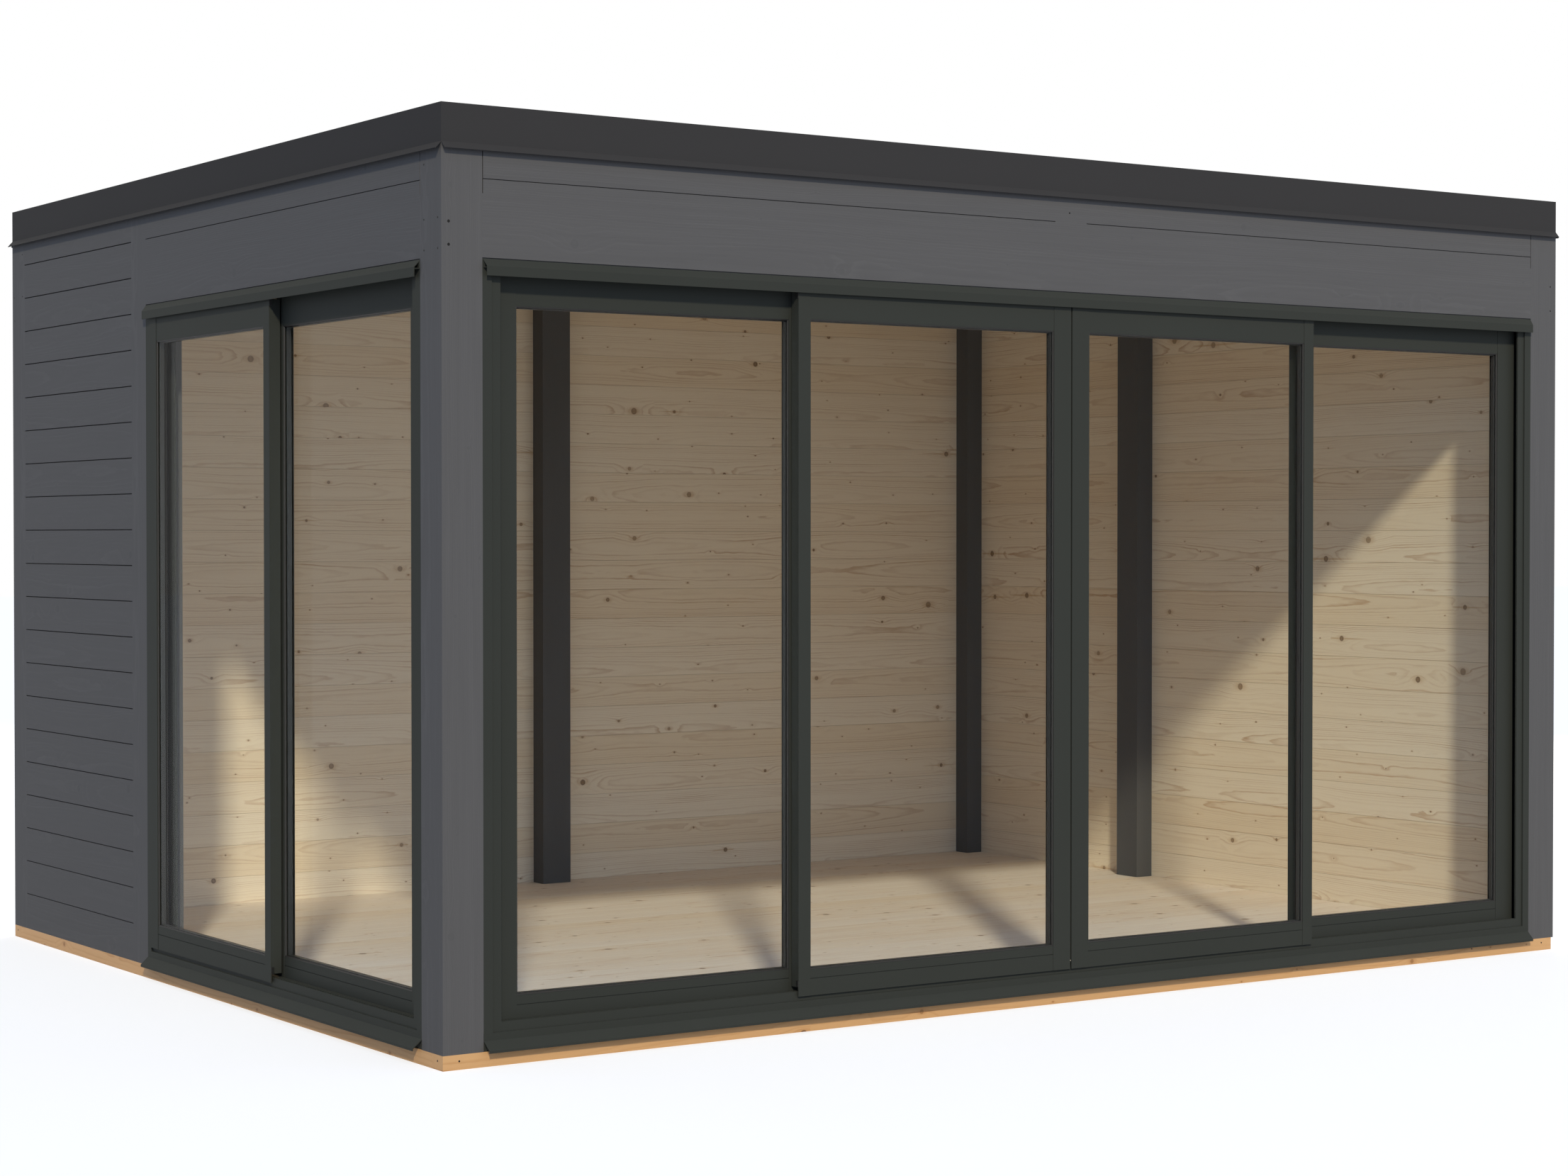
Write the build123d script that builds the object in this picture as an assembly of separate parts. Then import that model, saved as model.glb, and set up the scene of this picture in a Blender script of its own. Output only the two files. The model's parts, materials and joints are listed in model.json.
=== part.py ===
"""Garden office pod: a flat-roofed timber cabin with two sets of glazed sliding doors.

Millimetres. The origin is on the ground at the middle of the plan. +X runs to the right along
the front, +Y to the back and +Z up. The front has four door leaves and the left end has two.

Every wall piece is drawn in a wall frame: x runs along the wall from its middle, y is the depth
in from the wall's outside face, and z is the height above the ground. on_wall() places that frame.
"""

from build123d import *
import os

# ---------------------------------------------------------------- driving dimensions
LENGTH = 4200.0             # outside of the walls, along the front
DEPTH = 3220.0              # outside of the walls, front to back
POST = 120.0                # square posts
WALL = 44.0                 # wall boards
BASE_TOP = 40.0             # height of the bearers on the ground
BEARER = 60.0               # width of a bearer
BASE_SHORT = 10.0           # the base stops this much short of the right end wall
FLOOR_TOP = 62.0
WALL_TOP = 2417.0           # underside of the roof deck
DECK = 19.0                 # roof boards
ROOF_TOP = 2520.0           # top of the fascia

DOOR_TOP = 2120.0           # top of both door openings
SIDE_MIDDLE_POST_Y = 2068.0 - DEPTH / 2     # middle of the left and right middle posts

# wall boards
BOARD = 114.1               # board pitch
TOP_GROOVE = 2328.0         # height of the highest groove
GROOVES = 20
GROOVE_WIDTH = 3.5
GROOVE_DEPTH = 8.0          # outside
INNER_GROOVE_WIDTH = 1.8
INNER_GROOVE_DEPTH = 1.5

# lintels over the doors
HEADER = 70.0               # thickness
HEADER_GROOVE_WIDTH = 2.6
HEADER_GROOVE_DEPTH = 5.0
END_NOTCH_FOOT = 2290.0     # the open joint beside the corner posts ends here
END_NOTCH = 2.5
KERF_HEIGHT = 2.5           # kerf over the drip cap, at the lintel's foot
KERF_DEPTH = 5.0

# door frame profile, in depth from the wall's outside face
FRAME_WIDTH = 56.0          # face width of a jamb
TRIM_WIDTH = 28.0           # outer half of that face, flush with the wall
FRAME_FACE = 5.0            # depth of the inner half of that face
FRAME_DEPTH = 77.0
FRAME_WALL = 6.0
HEAD_FOOT = 2085.0          # underside of the frame's head
SILL_FLOOR = 90.0           # floor of the inner track
SILL_DECK = 114.5           # top of the sill over the outer track
TRACK_SLOT = 5.0            # width and depth of the slot that guides the outer leaves
SILL_BACK = 110.0
SILL_FLASH_TOP = 88.0       # top of the sill flashing
SHEET = 2.0                 # thickness of flashings

# door leaves
LEAF = 34.0                 # thickness
OUTER_FACE = -4.0           # front face of a leaf in the outer track
INNER_FACE = 36.0           # front face of a leaf in the inner track
OUTER_FOOT = 127.0          # underside of a sliding leaf's body
OUTER_TOP = 2079.0
SKIRT_FOOT = 101.0          # a sliding leaf's front skin laps down over the sill's front
SKIN = 3.5                  # thickness of that skin
SKIN_LAP = 22.0             # and how far it laps over a jamb
RUN_GAP = 5.0               # running clearance between a leaf and the frame
GLASS_FOOT = 174.0
GLASS_TOP = 2003.0
INTERLOCK = 40.0            # stile where two leaves overlap
INTERLOCK_OFFSET = 5.0      # inner stile starts this much before the outer one
MEETING_GAP = 5.0
RAIL_STEP = 1.0             # rails lie this much behind the stiles
BEAD = 24.0                 # height of the glazing bead at the foot of the glass
BEAD_GROOVE = 2.0
PANE = 4.0
PANE_DEPTHS = (6.0, 26.0)   # front faces of the two panes, from the leaf's face
PANE_LAP = 8.0              # pane let into the sash
PANE_PLAY = 0.2             # play round a pane in its groove

# roof edge
FASCIA_SKIN = 3.0           # the sheet in front of the roof boards
FASCIA_WIDTH = 32.0
DRIP_OUT = 17.0
DRIP_DOWN = 18.0
MEMBRANE = 6.0

FRONT_OPENING = LENGTH - 2 * POST
SIDE_OPENING = SIDE_MIDDLE_POST_Y - POST / 2 - (-DEPTH / 2 + POST)
SIDE_OPENING_Y = -DEPTH / 2 + POST + SIDE_OPENING / 2

TURN = {"front": 0, "right": 90, "back": 180, "left": -90}


def on_wall(wall, along=0.0):
    """The place of a wall frame whose middle is at `along`, in X or Y, on one of the four walls."""
    x, y = {"front": (along, -DEPTH / 2), "back": (along, DEPTH / 2),
            "left": (-LENGTH / 2, along), "right": (LENGTH / 2, along)}[wall]
    return Location((x, y, 0), (0, 0, TURN[wall]))


def block(x0, x1, y0, y1, z0, z1):
    """A plain block between two corners."""
    return Pos((x0 + x1) / 2, (y0 + y1) / 2, (z0 + z1) / 2) * Box(x1 - x0, y1 - y0, z1 - z0)


def profile_along(points, half):
    """A section in depth and height, run along the wall from -half to half."""
    section = Plane.YZ * make_face(Polyline(*points, close=True))
    return extrude(section, half, both=True)


def plan_prism(points, z0, z1):
    """An outline in plan, raised from z0 to z1."""
    return Pos(0, 0, z0) * extrude(make_face(Polyline(*points, close=True)), z1 - z0)


def save(name, shape):
    """Write one sub-part to its STEP file."""
    shape.label = name
    export_step(shape, f"parts/{name}.step")


# ---------------------------------------------------------------- base and floor
def long_bearers():
    """The bearers under the front and back walls."""
    right = LENGTH / 2 - BASE_SHORT
    front = block(-LENGTH / 2, right, -DEPTH / 2, -DEPTH / 2 + BEARER, 0, BASE_TOP)
    back = block(-LENGTH / 2, right, DEPTH / 2 - BEARER, DEPTH / 2, 0, BASE_TOP)
    return Compound([front, back])


def cross_bearers(inner_count=9):
    """The bearers under the end walls and the joists between them."""
    reach = DEPTH / 2 - BEARER
    ends = (-LENGTH / 2 + BEARER / 2, LENGTH / 2 - BASE_SHORT - BEARER / 2)
    spacing = LENGTH / (inner_count + 1)
    inner = [(i - inner_count // 2) * spacing for i in range(inner_count)]
    return Compound([block(x - BEARER / 2, x + BEARER / 2, -reach, reach, 0, BASE_TOP)
                     for x in (*ends, *inner)])


def post_places():
    """The middle of each post in plan, by name."""
    x, y = LENGTH / 2 - POST / 2, DEPTH / 2 - POST / 2
    return {
        "front_left_post": (-x, -y),
        "front_right_post": (x, -y),
        "back_left_post": (-x, y),
        "back_right_post": (x, y),
        "left_middle_post": (-x, SIDE_MIDDLE_POST_Y),
        "right_middle_post": (x, SIDE_MIDDLE_POST_Y),
        "back_middle_post": (0, y),
    }


def post(x, y):
    """A square post from the base to the roof deck."""
    half = POST / 2
    return block(x - half, x + half, y - half, y + half, BASE_TOP, WALL_TOP)


def floor(play=2.0):
    """The floor boards, cut round the posts and the two door sills."""
    x, y = LENGTH / 2 - WALL - play, DEPTH / 2 - WALL - play
    boards = block(-x, x, -y, y, BASE_TOP, FLOOR_TOP)
    half = POST / 2 + play
    for px, py in post_places().values():
        boards -= block(px - half, px + half, py - half, py + half, BASE_TOP, FLOOR_TOP)
    for wall, along, opening in (("front", 0, FRONT_OPENING), ("left", SIDE_OPENING_Y, SIDE_OPENING)):
        reach = opening / 2 + play
        boards -= on_wall(wall, along) * block(-reach, reach, 0, FRAME_DEPTH + play, 0, FLOOR_TOP)
    return boards


# ---------------------------------------------------------------- walls
def groove_heights():
    """Heights of the grooves between wall boards, from the top down."""
    return [TOP_GROOVE - i * BOARD for i in range(GROOVES)]


def board_wall(width):
    """Wall boards between two posts, with a V groove at each joint on both faces."""
    half, inner = GROOVE_WIDTH / 2, INNER_GROOVE_WIDTH / 2
    outside, inside = [], []
    for z in groove_heights():
        outside += [(0, z + half), (GROOVE_DEPTH, z), (0, z - half)]
        inside += [(WALL, z + inner), (WALL - INNER_GROOVE_DEPTH, z), (WALL, z - inner)]
    outline = [(0, WALL_TOP), *outside, (0, BASE_TOP), (WALL, BASE_TOP), *reversed(inside), (WALL, WALL_TOP)]
    return profile_along(outline, width / 2)


def header(width, breaks=(), notched_ends=(-1, 1)):
    """The lintel over a door set, with the top groove broken at each (start, end) in breaks."""
    beam = block(-width / 2, width / 2, 0, HEADER, DOOR_TOP, WALL_TOP)
    beam -= block(-width / 2, width / 2, 0, KERF_DEPTH, DOOR_TOP, DOOR_TOP + KERF_HEIGHT)
    half = HEADER_GROOVE_WIDTH / 2
    edges = [-width / 2, *(edge for pair in breaks for edge in pair), width / 2]
    for start, end in zip(edges[::2], edges[1::2]):
        groove = profile_along([(0, TOP_GROOVE + half), (HEADER_GROOVE_DEPTH, TOP_GROOVE),
                                (0, TOP_GROOVE - half)], (end - start) / 2)
        beam -= Pos((start + end) / 2, 0, 0) * groove
    for side in notched_ends:
        x0, x1 = sorted((side * width / 2, side * (width / 2 - END_NOTCH)))
        beam -= block(x0, x1, 0, HEADER_GROOVE_DEPTH, END_NOTCH_FOOT, WALL_TOP)
    return beam


# ---------------------------------------------------------------- door frames
def jamb(opening, side):
    """One side of a door frame: a channel with a stepped face, on the -1 or +1 side."""
    edge = opening / 2
    section = [(0, 0), (TRIM_WIDTH, 0), (TRIM_WIDTH, FRAME_FACE), (FRAME_WIDTH, FRAME_FACE),
               (FRAME_WIDTH, FRAME_FACE + FRAME_WALL), (FRAME_WALL, FRAME_FACE + FRAME_WALL),
               (FRAME_WALL, FRAME_DEPTH - FRAME_WALL), (FRAME_WIDTH, FRAME_DEPTH - FRAME_WALL),
               (FRAME_WIDTH, FRAME_DEPTH), (0, FRAME_DEPTH)]
    channel = plan_prism([(side * (edge - a), d) for a, d in section], BASE_TOP, DOOR_TOP)
    inner, outer = sorted((side * edge, side * (edge - FRAME_WIDTH)))
    return channel - block(inner, outer, 0, SHEET, BASE_TOP, SILL_FLASH_TOP)


def door_head(opening):
    """The frame's head between the jambs."""
    half = opening / 2 - FRAME_WIDTH
    return block(-half, half, 0, FRAME_DEPTH, HEAD_FOOT, DOOR_TOP)


def door_sill(opening):
    """The frame's sill between the jambs: a slotted deck over the outer track, and the inner track."""
    slot = OUTER_FACE + LEAF / 2 - TRACK_SLOT / 2
    front, step = FRAME_FACE, INNER_FACE - 1
    back = FRAME_DEPTH - FRAME_WALL
    section = [(SHEET, BASE_TOP), (SHEET, SILL_FLASH_TOP), (front, SILL_FLASH_TOP), (front, SILL_DECK),
               (slot, SILL_DECK), (slot, SILL_DECK - TRACK_SLOT), (slot + TRACK_SLOT, SILL_DECK - TRACK_SLOT),
               (slot + TRACK_SLOT, SILL_DECK), (step, SILL_DECK), (step, SILL_FLOOR),
               (back, SILL_FLOOR), (back, SILL_BACK), (FRAME_DEPTH, SILL_BACK), (FRAME_DEPTH, BASE_TOP)]
    return profile_along(section, opening / 2 - FRAME_WIDTH)


def head_flashing(opening, reach=16.0, drop=20.0, foot=2075.0):
    """The folded drip cap over a door set, open at its slanted ends."""
    web = DOOR_TOP - drop - 2 * SHEET
    outline = [(0, DOOR_TOP), (-reach, DOOR_TOP - drop), (-reach, foot), (-reach + SHEET, foot),
               (-reach + SHEET, web), (0, web)]
    hollow = [(-SHEET, DOOR_TOP - 3 * SHEET), (-reach + SHEET, DOOR_TOP - drop),
              (-reach + SHEET, web + SHEET), (-SHEET, web + SHEET)]
    half = opening / 2
    fold = profile_along(outline, half) - profile_along(hollow, half)
    ends = plan_prism([(2 - half, 0), (half - 2, 0), (half - 6, -reach), (6 - half, -reach)], foot, DOOR_TOP)
    return fold & ends


def sill_flashing(opening, reach=26.0, bend=68.0, nose=45.0, foot=38.5):
    """The folded drip sheet at the foot of a door set."""
    thick = SHEET * 0.75
    outline = [(SHEET, SILL_FLASH_TOP), (0, SILL_FLASH_TOP), (0, bend), (-reach, nose), (-reach, foot),
               (-reach + SHEET, foot), (-reach + SHEET, nose - thick), (SHEET, bend - thick)]
    half = opening / 2
    ends = plan_prism([(1 - half, SHEET), (half - 1, SHEET), (half - 4, -reach), (4 - half, -reach)],
                      foot, SILL_FLASH_TOP)
    return profile_along(outline, half) & ends


# ---------------------------------------------------------------- door leaves
class Leaf:
    """One glazed leaf. `left` and `right` are its edges, each stile is measured from its edge."""

    def __init__(self, left, right, left_stile, right_stile, slides, lap_left=0.0):
        self.left, self.right = left, right
        self.glass_left, self.glass_right = left + left_stile, right - right_stile
        self.slides = slides
        self.body_left = left + lap_left
        self.face = OUTER_FACE if slides else INNER_FACE
        self.foot = OUTER_FOOT if slides else SILL_FLOOR
        self.top = OUTER_TOP if slides else HEAD_FOOT

    def window(self, y0, y1, grow=0.0):
        """The glazed opening from depth y0 to y1, grown by `grow` all round."""
        return block(self.glass_left - grow, self.glass_right + grow, y0, y1,
                     GLASS_FOOT - grow, GLASS_TOP + grow)

    def sash(self):
        """The frame of the leaf, with a groove for each pane and a lapping skin if it slides."""
        back = self.face + LEAF
        frame = block(self.body_left, self.right, self.face, back, self.foot, self.top)
        if self.slides:
            frame += block(self.left, self.right, self.face, self.face + SKIN, SKIRT_FOOT, self.top)
        lowest = SKIRT_FOOT if self.slides else self.foot
        frame -= self.window(self.face, back)
        for z0, z1 in ((lowest, GLASS_FOOT), (GLASS_TOP, self.top)):
            frame -= block(self.glass_left, self.glass_right, self.face, self.face + RAIL_STEP, z0, z1)
        bead = GLASS_FOOT - BEAD
        frame -= block(self.glass_left, self.glass_right, self.face, self.face + RAIL_STEP + BEAD_GROOVE,
                       bead - BEAD_GROOVE, bead)
        for depth in PANE_DEPTHS:
            y0 = self.face + depth - PANE_PLAY
            frame -= self.window(y0, y0 + PANE + 2 * PANE_PLAY, PANE_LAP + PANE_PLAY)
        return frame

    def glass(self):
        """The two panes."""
        return Compound([self.window(self.face + depth, self.face + depth + PANE, PANE_LAP)
                         for depth in PANE_DEPTHS])


def front_leaves():
    """Four leaves: the outer two are fixed behind, the middle two slide apart in front."""
    end = FRONT_OPENING / 2 - FRAME_WIDTH + 15
    outer_edge = 984.0
    hidden = outer_edge + INTERLOCK_OFFSET
    middle = MEETING_GAP / 2
    jamb_stile, meeting_stile = 78.0, 64.5
    return {
        "front_fixed_left": Leaf(-end, -hidden + INTERLOCK, jamb_stile, INTERLOCK, False),
        "front_sliding_left": Leaf(-outer_edge, -middle, INTERLOCK, meeting_stile, True),
        "front_sliding_right": Leaf(middle, outer_edge, meeting_stile, INTERLOCK, True),
        "front_fixed_right": Leaf(hidden - INTERLOCK, end, INTERLOCK, jamb_stile, False),
    }


def side_leaves():
    """Two leaves: the one by the back slides in front of the fixed one by the front corner."""
    half = SIDE_OPENING / 2
    rear = half - FRAME_WIDTH
    jamb_stile, lapped_stile = 86.0, 58.0
    edge = -INTERLOCK_OFFSET / 2
    return {
        "side_sliding": Leaf(-rear - SKIN_LAP, edge, lapped_stile, INTERLOCK, True,
                             lap_left=SKIN_LAP + RUN_GAP),
        "side_fixed": Leaf(INTERLOCK_OFFSET / 2 - INTERLOCK, rear + 15, INTERLOCK, jamb_stile, False),
    }


# ---------------------------------------------------------------- roof
def roof_joists(spacing=600.0, width=44.0, height=120.0):
    """Joists from the front lintel to the back wall, three each side of the middle post."""
    y0, y1 = -DEPTH / 2 + HEADER, DEPTH / 2 - WALL
    places = [side * (i + 0.5) * spacing for side in (-1, 1) for i in range(3)]
    return Compound([block(x - width / 2, x + width / 2, y0, y1, WALL_TOP - height, WALL_TOP)
                     for x in places])


def roof_deck():
    """The roof boards, inside the fascias' sheets."""
    x, y = LENGTH / 2 - FASCIA_SKIN, DEPTH / 2 - FASCIA_SKIN
    return block(-x, x, -y, y, WALL_TOP, WALL_TOP + DECK)


def roof_membrane():
    """The roof covering between the fascias."""
    x, y = LENGTH / 2 - FASCIA_WIDTH, DEPTH / 2 - FASCIA_WIDTH
    z0 = WALL_TOP + DECK
    return block(-x, x, -y, y, z0, z0 + MEMBRANE)


def fascia(length):
    """One side of the metal roof edge, mitred at its corners, with a drip that stops at them."""
    deck_top = WALL_TOP + DECK
    root = WALL_TOP + 1
    sheet = SHEET * 0.7
    cap = [(0, ROOF_TOP), (FASCIA_WIDTH, ROOF_TOP), (FASCIA_WIDTH, deck_top), (FASCIA_SKIN, deck_top),
           (FASCIA_SKIN, root), (0, root)]
    tip = root - DRIP_DOWN
    drip = [(0, root), (-DRIP_OUT, tip), (sheet - DRIP_OUT, tip - sheet), (0, root - 2 * sheet),
            (0, WALL_TOP), (FASCIA_SKIN, WALL_TOP), (FASCIA_SKIN, root)]
    half = length / 2
    mitre = plan_prism([(-half, 0), (half, 0), (half - FASCIA_WIDTH, FASCIA_WIDTH),
                        (FASCIA_WIDTH - half, FASCIA_WIDTH)], root, ROOF_TOP)
    inner = half - FASCIA_SKIN
    cut_back = plan_prism([(-half, 0), (-inner, FASCIA_SKIN), (inner, FASCIA_SKIN), (half, 0),
                           (half - 2, -DRIP_OUT), (2 - half, -DRIP_OUT)], tip - DRIP_DOWN, root)
    return (profile_along(cap, half) & mitre) + (profile_along(drip, half) & cut_back)


# ---------------------------------------------------------------- the building
def main():
    """Write every sub-part."""
    os.makedirs("parts", exist_ok=True)
    save("long_bearers", long_bearers())
    save("cross_bearers", cross_bearers())
    save("floor", floor())
    for name, (x, y) in post_places().items():
        save(name, post(x, y))

    rear_width = DEPTH / 2 - POST - (SIDE_MIDDLE_POST_Y + POST / 2)
    rear_y = SIDE_MIDDLE_POST_Y + POST / 2 + rear_width / 2
    back_width = LENGTH / 2 - 1.5 * POST
    back_x = (LENGTH / 2 - POST + POST / 2) / 2
    save("left_wall", on_wall("left", rear_y) * board_wall(rear_width))
    save("right_wall", Compound([on_wall("right", rear_y) * board_wall(rear_width),
                                 on_wall("right", SIDE_OPENING_Y) * board_wall(SIDE_OPENING)]))
    save("back_wall", Compound([on_wall("back", x) * board_wall(back_width) for x in (-back_x, back_x)]))
    stub = POST / 2
    save("front_header", on_wall("front") * header(FRONT_OPENING, breaks=[(-stub, stub)]))
    save("side_header", on_wall("left", SIDE_OPENING_Y) * header(SIDE_OPENING, notched_ends=(1,)))

    doors = (("front_door", on_wall("front"), FRONT_OPENING, front_leaves()),
             ("side_door", on_wall("left", SIDE_OPENING_Y), SIDE_OPENING, side_leaves()))
    for name, place, opening, leaves in doors:
        save(f"{name}_jambs", place * Compound([jamb(opening, -1), jamb(opening, 1)]))
        save(f"{name}_head", place * door_head(opening))
        save(f"{name}_sill", place * door_sill(opening))
        save(f"{name}_head_flashing", place * head_flashing(opening))
        save(f"{name}_sill_flashing", place * sill_flashing(opening))
        for leaf_name, leaf in leaves.items():
            save(f"{leaf_name}_sash", place * leaf.sash())
            save(f"{leaf_name}_glass", place * leaf.glass())

    save("roof_joists", roof_joists())
    save("roof_deck", roof_deck())
    save("roof_membrane", roof_membrane())
    for wall in TURN:
        length = LENGTH if wall in ("front", "back") else DEPTH
        save(f"{wall}_fascia", on_wall(wall) * fascia(length))


main()
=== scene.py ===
"""Garden office: finishes, boards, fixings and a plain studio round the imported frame.

Lengths are metres in the row frame: the origin is on the ground at the middle of the plan, +X runs
to the right along the front, +Y to the back and +Z up. Sizes of small things are given in
millimetres and turned to metres by mm().
"""

import json
import logging
import math
from collections.abc import Callable
from dataclasses import dataclass
from enum import Enum
from functools import partial

import bmesh
import bpy
from bpy.types import ID, Material, Mesh, NodeSocket, NodeTree, Object
from mathutils import Matrix, Vector

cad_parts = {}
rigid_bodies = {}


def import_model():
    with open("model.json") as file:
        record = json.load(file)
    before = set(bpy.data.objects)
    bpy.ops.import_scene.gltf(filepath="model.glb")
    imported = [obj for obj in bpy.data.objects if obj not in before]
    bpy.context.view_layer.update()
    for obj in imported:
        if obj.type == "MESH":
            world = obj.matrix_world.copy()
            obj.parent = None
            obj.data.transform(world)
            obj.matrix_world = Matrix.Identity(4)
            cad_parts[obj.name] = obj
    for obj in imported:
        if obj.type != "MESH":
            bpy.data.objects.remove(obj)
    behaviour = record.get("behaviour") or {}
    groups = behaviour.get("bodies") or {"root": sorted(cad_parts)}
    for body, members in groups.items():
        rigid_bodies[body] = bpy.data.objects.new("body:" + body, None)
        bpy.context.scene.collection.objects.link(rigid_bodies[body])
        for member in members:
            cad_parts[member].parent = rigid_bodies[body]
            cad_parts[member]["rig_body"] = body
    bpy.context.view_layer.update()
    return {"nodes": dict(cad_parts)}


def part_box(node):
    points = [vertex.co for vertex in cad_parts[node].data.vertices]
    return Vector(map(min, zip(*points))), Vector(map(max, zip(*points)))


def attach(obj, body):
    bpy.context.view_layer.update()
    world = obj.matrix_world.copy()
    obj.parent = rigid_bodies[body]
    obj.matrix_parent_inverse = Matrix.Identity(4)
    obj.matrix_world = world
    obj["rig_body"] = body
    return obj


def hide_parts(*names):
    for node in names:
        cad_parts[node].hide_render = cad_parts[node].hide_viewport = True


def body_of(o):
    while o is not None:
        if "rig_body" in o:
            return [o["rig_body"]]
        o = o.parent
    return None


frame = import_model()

LOG = logging.getLogger("garden_office")
BUILDING = "building"
BOARD_PITCH = 0.1141  # the width that one board covers
WHITE = (1.0, 1.0, 1.0, 1.0)

Pair = tuple[float, float]
Triple = tuple[float, float, float]
Pairs = tuple[Pair, ...]
Place = Callable[[float, float, float], Vector]
Adder = Callable[..., NodeSocket]  # add_node with its tree given


# -------------------- small helpers
def mm(value: float) -> float:
    """Millimetres as metres."""
    return value / 1000.0


def linear(hex_colour: str) -> tuple[float, float, float, float]:
    """An sRGB hex colour as linear red, green, blue and 1.

    Args:
        hex_colour: The colour as "#RRGGBB".

    Returns:
        Four linear values from 0 to 1.
    """
    channels = (int(hex_colour[i:i + 2], 16) / 255 for i in (1, 3, 5))
    r, g, b = (c / 12.92 if c <= 0.04045 else ((c + 0.055) / 1.055) ** 2.4 for c in channels)
    return r, g, b, 1.0


def add_node(tree: NodeTree, kind: str, *values: object, out: str = "", stops: Pairs = (),
             **settings: object) -> NodeSocket | None:
    """Adds a node to a tree, with its settings and links.

    Args:
        tree: A shader or geometry node tree.
        kind: The node's type, with ShaderNode understood before a short name, then its operation
            or its kind of data.
        *values: Its inputs in order, of those that its settings leave open. Each is a value, a hex
            colour or the socket to link there.
        out: The name of the output handed back, or else it is the first open one.
        stops: Position and grey level of each stop, for a colour ramp.
        **settings: Its inputs by name, capitalised and with underscores for spaces, and its
            properties, in small letters.

    Returns:
        The output socket, if it has one.
    """
    kind, _, choice = kind.partition(" ")
    node = tree.nodes.new(kind if "Node" in kind else "ShaderNode" + kind)
    if choice:
        setattr(node, "operation" if hasattr(node, "operation") else "data_type", choice)
    for name in [name for name in settings if name[0].islower()]:
        setattr(node, name, settings.pop(name))
    given = dict(zip([i for i, socket in enumerate(node.inputs) if socket.enabled], values))
    given.update((name.replace("_", " "), value) for name, value in settings.items())
    for key, value in given.items():
        if isinstance(value, NodeSocket):
            tree.links.new(value, node.inputs[key])
        else:
            hexed = isinstance(value, str) and value.startswith("#")
            node.inputs[key].default_value = linear(value) if hexed else value
    for i, (position, level) in enumerate(stops):
        elements = node.color_ramp.elements
        element = elements[i] if i < len(elements) else elements.new(1.0)
        element.position, element.color = position, (level, level, level, 1.0)
    if out:
        return node.outputs[out]
    return next((socket for socket in node.outputs if socket.enabled), None)


def new_tree(name: str, family: str, takes: dict[str, str], gives: dict[str, str]) -> NodeTree:
    """A node group that is empty but for its sockets.

    Args:
        name: The group's name.
        family: Shader or Geometry.
        takes: Its inputs' names, with their kinds of socket.
        gives: Its outputs' names, with theirs.

    Returns:
        The group.
    """
    tree = bpy.data.node_groups.new(name, family + "NodeTree")
    for way, sockets in (("INPUT", takes), ("OUTPUT", gives)):
        for socket, kind in sockets.items():
            tree.interface.new_socket(socket, in_out=way, socket_type="NodeSocket" + kind)
    return tree


def put(name: str, data: ID, material: Material | None = None) -> Object:
    """Puts a mesh, a light or a camera in the scene, at the origin.

    Args:
        name: The object's name.
        data: What it holds.
        material: Its mesh's one material, or None to keep the mesh's own.

    Returns:
        The object.
    """
    if material is not None:
        data.materials.clear()
        data.materials.append(material)
    obj = bpy.data.objects.new(name, data)
    bpy.context.scene.collection.objects.link(obj)
    return obj


def finish_piece(obj: Object, slot: str, body: str = BUILDING, stands_for: tuple[str, ...] = ()) -> None:
    """Ties a finished piece to its body and hides the CAD nodes it stands for.

    Args:
        obj: The piece, in place.
        slot: The record's material slot; not used.
        body: The body it rides on.
        stands_for: CAD nodes that it replaces.
    """
    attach(obj, body)
    if stands_for:
        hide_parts(*stands_for)
    LOG.info("%s: %d faces on %s", obj.name, len(obj.data.polygons), body)


def dress(material: Material, *endings: str) -> None:
    """Gives CAD nodes their material.

    Args:
        material: The material for all of each node.
        *endings: What the nodes' names end in, or their whole names.
    """
    for node, obj in frame["nodes"].items():
        if node.endswith(endings):
            if not obj.material_slots:
                obj.data.materials.append(material)
            for slot in obj.material_slots:
                slot.material = material
            LOG.info("%s: %s", node, material.name)


# -------------------- wood
class Finish:
    """A named material made of one surface shader."""

    name: str

    def surface(self, add: Adder) -> NodeSocket:
        """The shader's socket, whose nodes each finish adds."""
        raise NotImplementedError

    def make(self) -> Material:
        """Makes the material.

        Returns:
            The material, ready for its pieces.
        """
        material = bpy.data.materials.new(self.name)
        material.use_nodes = True
        material.node_tree.nodes.clear()
        add = partial(add_node, material.node_tree)
        add("OutputMaterial", self.surface(add))
        return material


class Grain(Enum):
    """The way a timber's grain runs, with its (along, across, depth) axes."""

    ALONG_X_WALL = (0, 2, 1)
    ALONG_Y_WALL = (1, 2, 0)
    ALONG_X_FLAT = (0, 1, 2)
    UPRIGHT = (2, 0, 1)


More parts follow.
